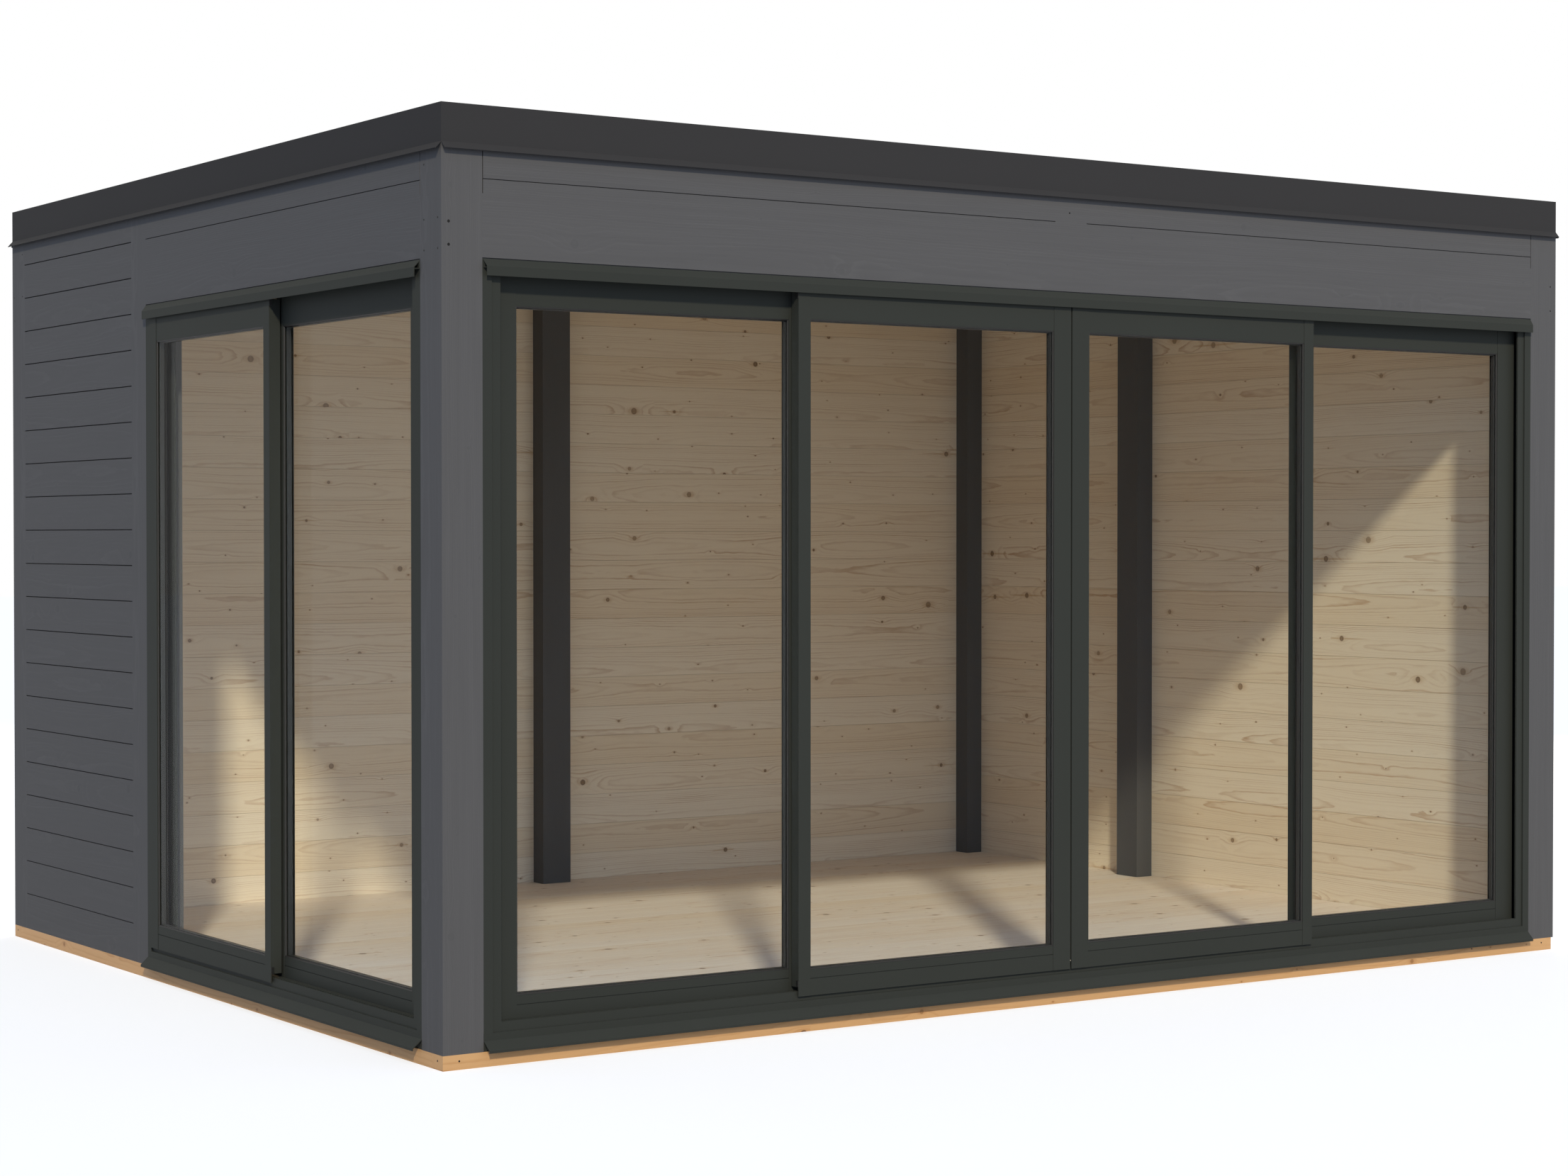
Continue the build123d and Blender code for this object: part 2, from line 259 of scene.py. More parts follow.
@dataclass(frozen=True)
class SoftwoodFigure:
    """Growth rings, fibres and knots of sawn softwood, drawn from its real structure.

    Each board is cut from its own log: its rings are cylinders round a pith that wanders beside
    the board, so their cut through the face gives straight lines at the edges and long loops
    in the middle.
    """

    ring: float = mm(5.6)  # rings are 2 to 5 mm apart, too fine to show across a garden
    knot_along: float = 0.22  # one knot for each such patch of board face
    knot_across: float = 0.15
    knot_least: float = mm(2.6)
    knot_spread: float = mm(10)
    # the core, its resin, the streak and the push: how much the length along the grain counts,
    # the reach in knot sizes, and how it fades
    knot_parts: tuple[tuple[float, float, Pairs], ...] = (
        (1.0, 2.0, ((0.0, 0.7), (0.3, 0.85), (0.44, 1.0), (0.56, 0.0))),
        (0.45, 4.0, ((0.0, 1.0), (0.18, 0.55), (0.42, 0.0))),
        (0.03, 1.0, ((0.1, 1.0), (0.5, 0.0))),
        (0.45, 5.0, ((0.0, 1.0), (0.35, 0.45), (1.0, 0.0))))
    knot_rarity: float = 6.0  # the power that makes large knots rare
    knot_faintest: float = 0.5  # what the faintest knot keeps of its colour
    knot_push: float = 1.8  # how far a knot pushes the rings aside, in its own sizes
    streak_from: float = 0.8  # the knots past this chance have a streak along the grain
    wander: float = mm(75)  # how far the pith strays under the board
    sunk: float = mm(20)  # how far apart in depth the boards' piths lie
    sideways: float = 0.11  # how wide a band the boards' piths lie in
    sway: float = mm(12)  # how far the rings bend along the board
    ragged: float = mm(3)  # and how rough their edges are
    # cycles a metre along, across and into the board, of the wander, the sway and the rough edges
    wander_scale: Triple = (0.8, 3.7, 0.0)
    sway_scale: Triple = (3.4, 20.0, 20.0)
    ragged_scale: Triple = (16.0, 90.0, 90.0)
    fibre_along: float = 2.4  # cycles a metre along the fibres
    fibre_pitch: float = mm(11)  # bundles of fibres, single ones are 0.03 mm
    log_cell: float = 0.25  # depth over which one log's rings run on
    face: float = mm(55)  # depth of the board faces in such a cell
    log_step: float = 37.0  # sets the boards' logs apart along the grain
    year_step: float = 17.0  # and their years
    ring_rarity: float = 1.5  # the power that makes bold rings rare
    ring_faintest: float = 0.2  # what the faintest ring keeps of its colour
    fading: Pairs = ((0.3, 0.35), (0.65, 1.0))  # how rings come and go along the board
    late_wood: Pairs = ((0.0, 0.0), (0.52, 0.06), (0.84, 0.9), (0.92, 1.0), (1.0, 0.0))

    def group(self) -> NodeTree:
        """The figure as a node group, made once.

        Returns:
            A group from Along, Across, Depth, Board and Local in metres to Ring, Fibre, Knot, Halo
            and Tint from 0 to 1.
        """
        name = f"softwood_figure_{self.knot_least * 1e6:.0f}"
        if name in bpy.data.node_groups:
            return bpy.data.node_groups[name]
        tree = new_tree(name, "Shader",
                        dict.fromkeys(("Along", "Across", "Depth", "Board", "Local"), "Float"),
                        dict.fromkeys(("Ring", "Fibre", "Knot", "Halo", "Tint"), "Float"))
        add = partial(add_node, tree)
        along, across, depth, board, local = add("NodeGroupInput").node.outputs[:5]

        dice = add("TexWhiteNoise", W=board, noise_dimensions="1D").node.outputs
        chance = add("SeparateColor", dice["Color"]).node.outputs
        walk = add("Math MULTIPLY_ADD", chance[2], self.log_step, along)
        core, halo, pull = self._knots(add, walk, across)

        slow = self._noise(add, (walk, board), self.wander_scale, 1.0)
        quick = self._noise(add, (walk, across, depth), self.sway_scale, 2.0)
        ragged = self._noise(add, (walk, across, depth), self.ragged_scale, 1.0)
        cell = add("Math ROUND", add("Math DIVIDE", depth, self.log_cell))
        below = add("Math MULTIPLY_ADD", cell, -self.log_cell, depth)
        below = add("Math SUBTRACT", add("Math ABSOLUTE", below), self.face)
        below = add("Math MULTIPLY_ADD", chance[1], self.sunk, below)
        below = add("Math MULTIPLY_ADD", slow, self.wander, below)
        pith = add("Math MULTIPLY_ADD", chance[0], self.sideways, -self.sideways / 2)
        side = add("Math MULTIPLY_ADD", quick, self.sway, add("Math SUBTRACT", local, pith))
        radius = add("VectorMath LENGTH", add("CombineXYZ", side, below))
        radius = add("Math MULTIPLY_ADD", ragged, self.ragged, add("Math ADD", radius, pull))
        years = add("Math DIVIDE", radius, self.ring)
        late = add("ValToRGB", add("Math FRACT", years), stops=self.late_wood)
        year = add("Math MULTIPLY_ADD", board, self.year_step, add("Math FLOOR", years))
        luck = add("TexWhiteNoise", W=year, noise_dimensions="1D")
        bold = add("Math MULTIPLY_ADD", add("Math POWER", luck, self.ring_rarity),
                   1.0 - self.ring_faintest, self.ring_faintest)
        patchy = add("ValToRGB", quick, stops=self.fading)
        rings = add("Math MULTIPLY", add("Math MULTIPLY", late, bold), patchy)

        fibre = self._noise(add, (walk, across, depth),
                            (self.fibre_along, 1 / self.fibre_pitch, 1 / self.fibre_pitch), 2.0)
        add("NodeGroupOutput", rings, fibre, core, halo, dice["Value"])
        return tree

    def _noise(self, add: Adder, parts: tuple[NodeSocket, ...], scales: Triple,
               detail: float) -> NodeSocket:
        """Noise on stretched coordinates.

        Args:
            add: Adds a node to the group.
            parts: The coordinates' sockets.
            scales: Cycles a metre along each.
            detail: Octaves of noise.

        Returns:
            The noise, 0 to 1.
        """
        place = add("VectorMath MULTIPLY", add("CombineXYZ", *parts), scales)
        return add("TexNoise", Vector=place, Scale=1.0, Detail=detail)

    def _knots(self, add: Adder, along: NodeSocket, across: NodeSocket) -> tuple[NodeSocket, ...]:
        """Round knots, one to each cell of the board face at most.

        Args:
            add: Adds a node to the group.
            along: Distance along the grain.
            across: Distance across it.

        Returns:
            The knot and its resin from 0 to 1, and how far it pushes the rings aside in metres.
        """
        cells = add("CombineXYZ", add("Math DIVIDE", along, self.knot_along),
                    add("Math DIVIDE", across, self.knot_across))
        nearest = add("TexVoronoi", Vector=cells, Scale=1.0, voronoi_dimensions="2D").node.outputs
        pick = add("SeparateColor", nearest["Color"]).node.outputs
        size = add("Math MULTIPLY_ADD", add("Math POWER", pick[0], self.knot_rarity),
                   self.knot_spread, self.knot_least)
        away = add("VectorMath SUBTRACT", cells, nearest["Position"])
        away = add("VectorMath MULTIPLY", away, (self.knot_along, self.knot_across, 0.0))

        faded = []
        for stretch, reach, stops in self.knot_parts:
            oval = add("VectorMath LENGTH", add("VectorMath MULTIPLY", away, (stretch, 1.0, 0.0)))
            share = add("Math DIVIDE", oval, add("Math MULTIPLY", size, reach))
            faded.append(add("ValToRGB", share, stops=stops))
        core, halo, run, pull = faded
        strength = add("Math MULTIPLY_ADD", pick[1], 1.0 - self.knot_faintest, self.knot_faintest)
        core = add("Math MULTIPLY", core, strength)
        run = add("Math MULTIPLY", run, add("Math GREATER_THAN", pick[2], self.streak_from))
        pull = add("Math MULTIPLY", pull, add("Math MULTIPLY", size, self.knot_push))
        return core, add("Math MAXIMUM", halo, run), pull


@dataclass(frozen=True)
class BareSoftwood(Finish):
    """Planed spruce or pine with nothing on it: pale, with soft loops of grain and brown knots."""

    name: str
    grain: Grain
    pitch: float  # width of a board
    start: float  # where a board joint lies across the grain
    pale: str = "#F2E3CC"
    dark: str = "#B38255"
    knot: str = "#5E3F28"
    resin: str = "#BC8E55"
    seed: float = 0.0
    ring_share: float = 0.62
    fibre_share: float = 0.25
    resin_share: float = 0.55
    knot_share: float = 0.85
    joint: float = 0.0  # how dark the joint between boards is: painted shade in the groove, with its dust
    joint_half: float = mm(0.9)
    figure: SoftwoodFigure = SoftwoodFigure()
    board_tint: str = "#FAF4EB"  # the warmest board's multiplier over the palest one's
    rise: Triple = (0.5, 0.3, 0.4)  # of rings, fibres and knots, in the bump
    bump: float = mm(0.4)
    bump_strength: float = 0.5
    roughness: float = 0.55
    dulling: float = 0.1  # how much rougher the dull places are
    gloss: float = 0.3  # specular level

    def wood(self, add: Adder) -> tuple[NodeSocket, ...]:
        """The figure on this timber's own axes.

        Args:
            add: Adds a node to the material.

        Returns:
            Ring, fibre and knot from 0 to 1, the colour, and the height for a bump.
        """
        place = add("SeparateXYZ", add("TexCoord", out="Object")).node.outputs
        along, across, depth = (place[axis] for axis in self.grain.value)
        steps = add("Math DIVIDE", add("Math SUBTRACT", across, self.start), self.pitch)
        board = add("Math FLOOR", steps)
        middle = add("Math SUBTRACT", add("Math SUBTRACT", steps, board), 0.5)
        ring, fibre, knot, halo, tint = add(
            "Group", along, across, depth, add("Math ADD", board, self.seed),
            add("Math MULTIPLY", middle, self.pitch), node_tree=self.figure.group()).node.outputs
        share = add("Math MULTIPLY_ADD", fibre, self.fibre_share, -self.fibre_share / 2)
        share = add("Math MULTIPLY_ADD", ring, self.ring_share, share, use_clamp=True)
        warm = add("Mix RGBA", tint, WHITE, self.board_tint)
        colour = add("Mix RGBA", share, self.pale, self.dark)
        colour = add("Mix RGBA", 1.0, colour, warm, blend_type="MULTIPLY")
        layers = [(halo, self.resin_share, self.resin), (knot, self.knot_share, self.knot)]
        # a thin band along each board joint is darkened: painted shade in the groove, with its dust
        if self.joint:
            edge = add("Math GREATER_THAN", add("Math ABSOLUTE", middle),
                       0.5 - self.joint_half / self.pitch)
            layers.insert(0, (edge, self.joint, self.knot))
        for where, strength, layer in layers:
            share = add("Math MULTIPLY", where, strength)
            colour = add("Mix RGBA", share, colour, layer)
        height = add("Math MULTIPLY_ADD", ring, self.rise[0],
                     add("Math MULTIPLY", fibre, self.rise[1]))
        return ring, fibre, knot, colour, add("Math MULTIPLY_ADD", knot, self.rise[2], height)

    def face(self, add: Adder, colour: NodeSocket, dull: NodeSocket, height: NodeSocket) -> NodeSocket:
        """The shader of a colour, with its duller places and its bump."""
        return add("BsdfPrincipled", Base_Color=colour, Specular_IOR_Level=self.gloss,
                   Roughness=add("Math MULTIPLY_ADD", dull, self.dulling, self.roughness),
                   Normal=add("Bump", Height=height, Distance=self.bump, Strength=self.bump_strength))

    def surface(self, add: Adder) -> NodeSocket:
        """Bare wood, duller on the rings.

        Args:
            add: Adds a node to the material.

        Returns:
            The shader.
        """
        ring, _, _, colour, height = self.wood(add)
        return self.face(add, colour, ring, height)


@dataclass(frozen=True)
class StainedSoftwood(BareSoftwood):
    """Planed softwood under an opaque grey stain: one matt colour, with the grain left in relief.

    With bare_inside, the side that faces the room is left bare.
    """

    bare_inside: bool = False
    stain: str = "#575656"
    thin: str = "#605F5F"  # where the stain lies thin on the hard rings
    over_knot: str = "#525252"
    inner: Triple = (2.078, 1.588, 0.0)  # the stain stops inside the wall, this far from the middle
    thinning: Triple = (0.5, 0.7, -0.2)  # of the stain by rings and by fibres, and before either
    knot_shows: float = 0.6
    bump: float = mm(0.8)
    roughness: float = 0.66
    gloss: float = 0.06

    def surface(self, add: Adder) -> NodeSocket:
        """The stain over the wood's relief.

        Args:
            add: Adds a node to the material.

        Returns:
            The shader.
        """
        ring, fibre, knot, bare, height = self.wood(add)
        by_ring, by_fibre, before = self.thinning
        share = add("Math MULTIPLY_ADD", ring, by_ring,
                    add("Math MULTIPLY_ADD", fibre, by_fibre, before), use_clamp=True)
        colour = add("Mix RGBA", share, self.stain, self.thin)
        colour = add("Mix RGBA", add("Math MULTIPLY", knot, self.knot_shows), colour, self.over_knot)
        if self.bare_inside:
            away = add("VectorMath ABSOLUTE", add("TexCoord", out="Object"))
            away = add("SeparateXYZ", add("VectorMath SUBTRACT", away, self.inner)).node.outputs
            outside = add("Math GREATER_THAN", add("Math MAXIMUM", away[0], away[1]), 0.0)
            colour = add("Mix RGBA", outside, bare, colour)
        return self.face(add, colour, fibre, height)


# -------------------- other finishes
@dataclass(frozen=True)
class MadeSurface(Finish):
    """A coated, rolled or moulded surface: one colour in soft patches, with a fine even grain."""

    name: str
    colour: str
    roughness: float
    metallic: float = 0.0
    uneven: float = 0.15  # how much darker the darkest patches are
    patch: float = mm(3.3)  # length of the patches
    octaves: float = 2.0  # of the patches
    grain: float = mm(3.3)
    rough_range: float = 0.1
    relief: float = 0.0  # of the grain
    wave: float = 0.0  # relief of the patches
    gloss: float = 0.5  # specular level
    strengths: Pair = (0.5, 0.3)  # of the patches' bump and the grain's

    def surface(self, add: Adder) -> NodeSocket:
        """Patches of colour, and grain in the gloss and the relief.

        Args:
            add: Adds a node to the material.

        Returns:
            The shader.
        """
        place = add("TexCoord", out="Object")
        patches = add("TexNoise", Vector=place, Scale=1 / self.patch, Detail=self.octaves)
        grain = add("TexNoise", Vector=place, Scale=1 / self.grain, Detail=2.0)
        dark = tuple(c * (1 - self.uneven) for c in linear(self.colour)[:3]) + (1.0,)
        normal = {}
        for height, relief, strength in zip((patches, grain), (self.wave, self.relief), self.strengths):
            if relief:
                normal["Normal"] = add("Bump", Height=height, Distance=relief, Strength=strength, **normal)
        return add("BsdfPrincipled", Metallic=self.metallic, Specular_IOR_Level=self.gloss, **normal,
                   Base_Color=add("Mix RGBA", patches, dark, self.colour),
                   Roughness=add("Math MULTIPLY_ADD", grain, self.rough_range,
                                 self.roughness - self.rough_range / 2))


# baked polyester powder: matt and even, its grit drawn coarser than the real 0.3 mm, which can't show
POWDER_COAT = MadeSurface("powder_coated_aluminium", "#383A36", 0.5, uneven=0.0784, patch=1 / 2.3,
                          grain=mm(1.4), rough_range=0.12, relief=mm(0.03), gloss=0.03)
# colour-coated steel, bent on a brake: smooth and matt, with slow waves in its flats
COATED_SHEET = MadeSurface("coated_steel_sheet", "#3B3A3A", 0.6, uneven=0.0645, patch=0.45, octaves=1.0,
                           grain=mm(2.5), rough_range=0.14, relief=mm(0.1), wave=mm(1.2), gloss=0.02)
# small parts, with the slight unevenness of their making
GLAZING_SEAL = MadeSurface("epdm_glazing_seal", "#161616", 0.62)
SPACER_BAR = MadeSurface("anodised_spacer_bar", "#2A2B2B", 0.4)
BLACK_NYLON = MadeSurface("black_nylon", "#151515", 0.5)
BRUSH_PILE = MadeSurface("polypropylene_pile", "#222222", 0.85, patch=mm(2), grain=mm(2))
BLACK_SCREW = MadeSurface("black_zinc_screw", "#1B1B1B", 0.45, 0.6, patch=mm(1.5), grain=mm(1.5))
STEEL_SCREW = MadeSurface("stainless_screw", "#A8A8A6", 0.3, 1.0, 0.1, mm(1.5), grain=mm(1.5))
CLAMPING_BAR = MadeSurface("mill_aluminium_bar", "#9A9B9C", 0.42, 0.9, 0.08)


@dataclass(frozen=True)
class RubberSheet(Finish):
    """Black EPDM roof sheet: dull, faintly chalky and never quite flat."""

    name: str = "epdm_roof_sheet"
    colour: str = "#2A2A2B"
    chalk: str = "#353535"
    clouds: float = 3.0  # of chalk, to a metre
    cloud_edge: Pairs = ((0.35, 0.0), (0.75, 1.0))
    puckers: float = 7.0  # to a metre
    pucker_height: float = mm(6)

    def surface(self, add: Adder) -> NodeSocket:
        """Clouds of chalk on a puckered sheet.

        Args:
            add: Adds a node to the material.

        Returns:
            The shader.
        """
        place = add("TexCoord", out="Object")
        cloud = add("TexNoise", Vector=place, Scale=self.clouds, Detail=6.0)
        cloud = add("ValToRGB", cloud, stops=self.cloud_edge)
        pucker = add("TexNoise", Vector=place, Scale=self.puckers, Detail=2.0)
        return add("BsdfPrincipled", Roughness=0.72, Specular_IOR_Level=0.3,
                   Base_Color=add("Mix RGBA", cloud, self.colour, self.chalk),
                   Normal=add("Bump", Height=pucker, Distance=self.pucker_height, Strength=0.5))


@dataclass(frozen=True)
class FloatGlass(Finish):
    """Clear float glass, seen as a thin sheet: straight through, with a mirror film on its face."""

    name: str = "float_glass"
    tint: str = "#FCFDFD"
    ior: float = 1.08  # low, so that the film stands for the two faces of one pane

    def surface(self, add: Adder) -> NodeSocket:
        """A clear sheet with its film on the side that faces out.

        Args:
            add: Adds a node to the material.

        Returns:
            The shader.
        """
        clear = add("BsdfTransparent", Color=self.tint)
        film = add("BsdfGlossy", Color=WHITE, Roughness=0.0)
        facing = add("Math SUBTRACT", 1.0, add("NewGeometry", out="Backfacing"))
        front = add("Math MULTIPLY", add("Fresnel", IOR=self.ior), facing)
        return add("MixShader", front, clear, film)


# -------------------- walls and shapes
class Wall(Enum):
    """A wall of the building, as the plan axis along it, the one across it and its side."""

    FRONT = (0, 1, -1)
    BACK = (0, 1, 1)
    LEFT = (1, 0, -1)
    RIGHT = (1, 0, 1)

    def half(self) -> float:
        """How far the outside face lies from the middle of the plan."""
        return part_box("back_right_post")[1][self.value[1]]

    def place(self, along: float, depth: float, height: float) -> Vector:
        """A point given from this wall's outside face.

        Args:
            along: World X or Y along the wall.
            depth: Distance in from the outside face.
            height: World Z.

        Returns:
            The point.
        """
        axis, across, side = self.value
        point = Vector((0.0, 0.0, height))
        point[axis] = along
        point[across] = side * (self.half() - depth)
        return point

    def outward(self) -> Vector:
        """The direction out of the wall."""
        return (self.place(0.0, -1.0, 0.0) - self.place(0.0, 0.0, 0.0)).normalized()

    def along(self, point: Vector) -> float:
        """A point's place along the wall."""
        return point[self.value[0]]

    def depth(self, low: Vector, high: Vector) -> float:
        """How far in from the outside face the nearest side of a box lies."""
        _, across, side = self.value
        return self.half() - max(side * low[across], side * high[across])


class Form:
    """Collects closed skins in one mesh, each made of rows of points joined row to row."""

    def __init__(self) -> None:
        """Starts with nothing."""
        self.shape = bmesh.new()

    def skin(self, rows: list[list[Vector]], endless: bool = False) -> None:
        """Joins closed rows of points, one to the next.

        Args:
            rows: Rows with the same number of points.
            endless: Whether the last row joins the first, or else both ends are capped.
        """
        rings = [[self.shape.verts.new(point) for point in row] for row in rows]
        pairs = list(zip(rings, rings[1:]))
        if endless:
            pairs.append((rings[-1], rings[0]))
        else:
            self.shape.faces.new(rings[0])
            self.shape.faces.new(reversed(rings[-1]))
        for one, other in pairs:
            for i in range(len(one)):
                j = (i + 1) % len(one)
                self.shape.faces.new((one[i], one[j], other[j], other[i]))

    def mitred(self, low: Pair, high: Pair, section: Pairs, place: Place) -> None:
        """A moulding round the inside of a rectangle, mitred at its corners.

        Args:
            low: The rectangle's lowest two coordinates.
            high: Its highest two.
            section: Points as inset from the rectangle and depth, mm.
            place: Gives the point for (first coordinate, depth, second coordinate).
        """
        corners = ((False, False), (True, False), (True, True), (False, True))
        self.skin([[place(high[0] - mm(inset) if right else low[0] + mm(inset), mm(depth),
                          high[1] - mm(inset) if top else low[1] + mm(inset))
                    for inset, depth in section] for right, top in corners], endless=True)

    def turned(self, profile: list[Pair], sides: int, place: Place) -> None:
        """A turned shape, closed at both ends.

        Args:
            profile: Points as radius and height along the axis.
            sides: Number of sides.
            place: Gives the point for (first coordinate, height, second coordinate).
        """
        turns = [2 * math.pi * i / sides for i in range(sides)]
        self.skin([[place(radius * math.cos(turn), height, radius * math.sin(turn)) for turn in turns]
                   for radius, height in profile])

    def block(self, low: Vector, high: Vector, ease: float = 0.0) -> None:
        """A block with eased edges.

        Args:
            low: One corner.
            high: The opposite corner.
            ease: Width of the chamfer on its edges.
        """
        low, high = Vector(map(min, low, high)), Vector(map(max, low, high))
        made = bmesh.ops.create_cube(self.shape, size=1.0, matrix=Matrix.Translation((low + high) / 2)
                                     @ Matrix.Diagonal((*(high - low), 1.0)))
        if ease:
            edges = {edge for vert in made["verts"] for edge in vert.link_edges}
            bmesh.ops.bevel(self.shape, geom=list(edges), offset=ease, segments=1, affect="EDGES")

    def mesh(self, name: str) -> Mesh:
        """The finished mesh, with its faces outwards.

        Args:
            name: Its name.

        Returns:
            The mesh.
        """
        bmesh.ops.recalc_face_normals(self.shape, faces=self.shape.faces)
        mesh = bpy.data.meshes.new(name)
        self.shape.to_mesh(mesh)
        self.shape.free()
        return mesh

    def piece(self, name: str, material: Material, slot: str, body: str = BUILDING) -> None:
        """Turns the mesh into a finished piece of that name."""
        finish_piece(put(name, self.mesh(name), material), slot, body)


# -------------------- geometry nodes
def bake(name: str, mesh: Mesh, tree: NodeTree, values: dict[str, object]) -> Object:
    """Runs a geometry tree on a mesh and keeps its result as a plain mesh.

    Args:
        name: The new object's name.
        mesh: The mesh that goes in.
        tree: The geometry tree.
        values: The tree's inputs by name. A mesh stands for an object made of it for the while.

    Returns:
        The new object, at the origin.
    """
    holder = put(name + "_holder", mesh)
    passing = [holder]
    modifier = holder.modifiers.new("tree", "NODES")
    modifier.node_group = tree
    for item in tree.interface.items_tree:
        if item.in_out == "INPUT" and item.name in values:
            value = values[item.name]
            if isinstance(value, Mesh):
                value = put(value.name, value)
                passing.append(value)
            modifier[item.identifier] = value
    bpy.context.view_layer.update()
    graph = bpy.context.evaluated_depsgraph_get()
    made = bpy.data.meshes.new_from_object(holder.evaluated_get(graph), depsgraph=graph)
    made.name = name
    for obj in passing:
        bpy.data.objects.remove(obj)
    return put(name, made)


class Spread:
    """Repeats one shape at points with Geometry Nodes and keeps the result as a plain mesh."""

    def __init__(self) -> None:
        """Builds the tree."""
        takes = {"Points": "Geometry", "Shape": "Object", "Size": "Float", "Sway": "Float", "Seed": "Int",
                 "Finish": "Material"}
        self.tree = new_tree("spread", "Geometry", takes, {"Result": "Geometry"})
        add = partial(add_node, self.tree)
        given = add("NodeGroupInput").node.outputs
        shape = add("GeometryNodeObjectInfo", Object=given["Shape"], out="Geometry")
        facing = add("GeometryNodeInputNamedAttribute", Name="facing", data_type="FLOAT_VECTOR")
        chance = add("FunctionNodeRandomValue", (-1.0, -1.0, -1.0), (1.0, 1.0, 1.0),
                     Seed=given["Seed"], data_type="FLOAT_VECTOR")
        sway = add("VectorMath SCALE", chance, Scale=given["Sway"])
        leaning = add("VectorMath ADD", facing, sway)
        turn = add("FunctionNodeAlignRotationToVector", Vector=leaning, axis="Z")
        placed = add("GeometryNodeInstanceOnPoints", Points=given["Points"], Instance=shape,
                     Rotation=turn, Scale=given["Size"])
        real = add("GeometryNodeRealizeInstances", placed)
        done = add("GeometryNodeSetMaterial", Geometry=real, Material=given["Finish"])
        add("NodeGroupOutput", done)

    def piece(self, name: str, points: list[tuple[Vector, Vector]], shape: Mesh, size: float,
              finish: Material, slot: str, body: str = BUILDING, sway: float = 0.0, seed: int = 1) -> None:
        """Makes one finished piece of the repeated shape.

        Args:
            name: The piece's name.
            points: Places and the directions that the shape's own +Z turns to.
            shape: The shape repeated, drawn round the origin at unit size.
            size: Its scale.
            finish: Its material.
            slot: The record's slot.
            body: The body it rides on.
            sway: How far each one leans at random.
            seed: Starts the chance.
        """
        seeds = bpy.data.meshes.new(name + "_points")
        seeds.from_pydata([place for place, _ in points], [], [])
        facing = seeds.attributes.new("facing", "FLOAT_VECTOR", "POINT")
        for datum, (_, direction) in zip(facing.data, points):
            datum.vector = direction
        values = {"Shape": shape, "Size": size, "Sway": sway, "Seed": seed, "Finish": finish}
        finish_piece(bake(name, seeds, self.tree, values), slot, body)


def screw_head() -> Mesh:
    """A low screw head with a six-sided socket, of radius 1 and lying on Z = 0.

    Returns:
        The mesh.
    """
    sides = 12
    form = Form()
    rows = []
    # radius and height of each row of points, and whether it is a hexagon
    for radius, height, hexagon in ((0.9, -0.3, False), (1.0, -0.05, False), (1.0, 0.08, False),
                                    (0.86, 0.2, False), (0.5, 0.2, True), (0.46, 0.03, True)):
        flat = radius * math.cos(math.pi / 6) if hexagon else radius
        turns = [(2 * math.pi * i / sides, flat if i % 2 else radius) for i in range(sides)]
        rows.append([Vector((r * math.cos(turn), r * math.sin(turn), height)) for turn, r in turns])
    form.skin(rows)
    return form.mesh("screw_head")


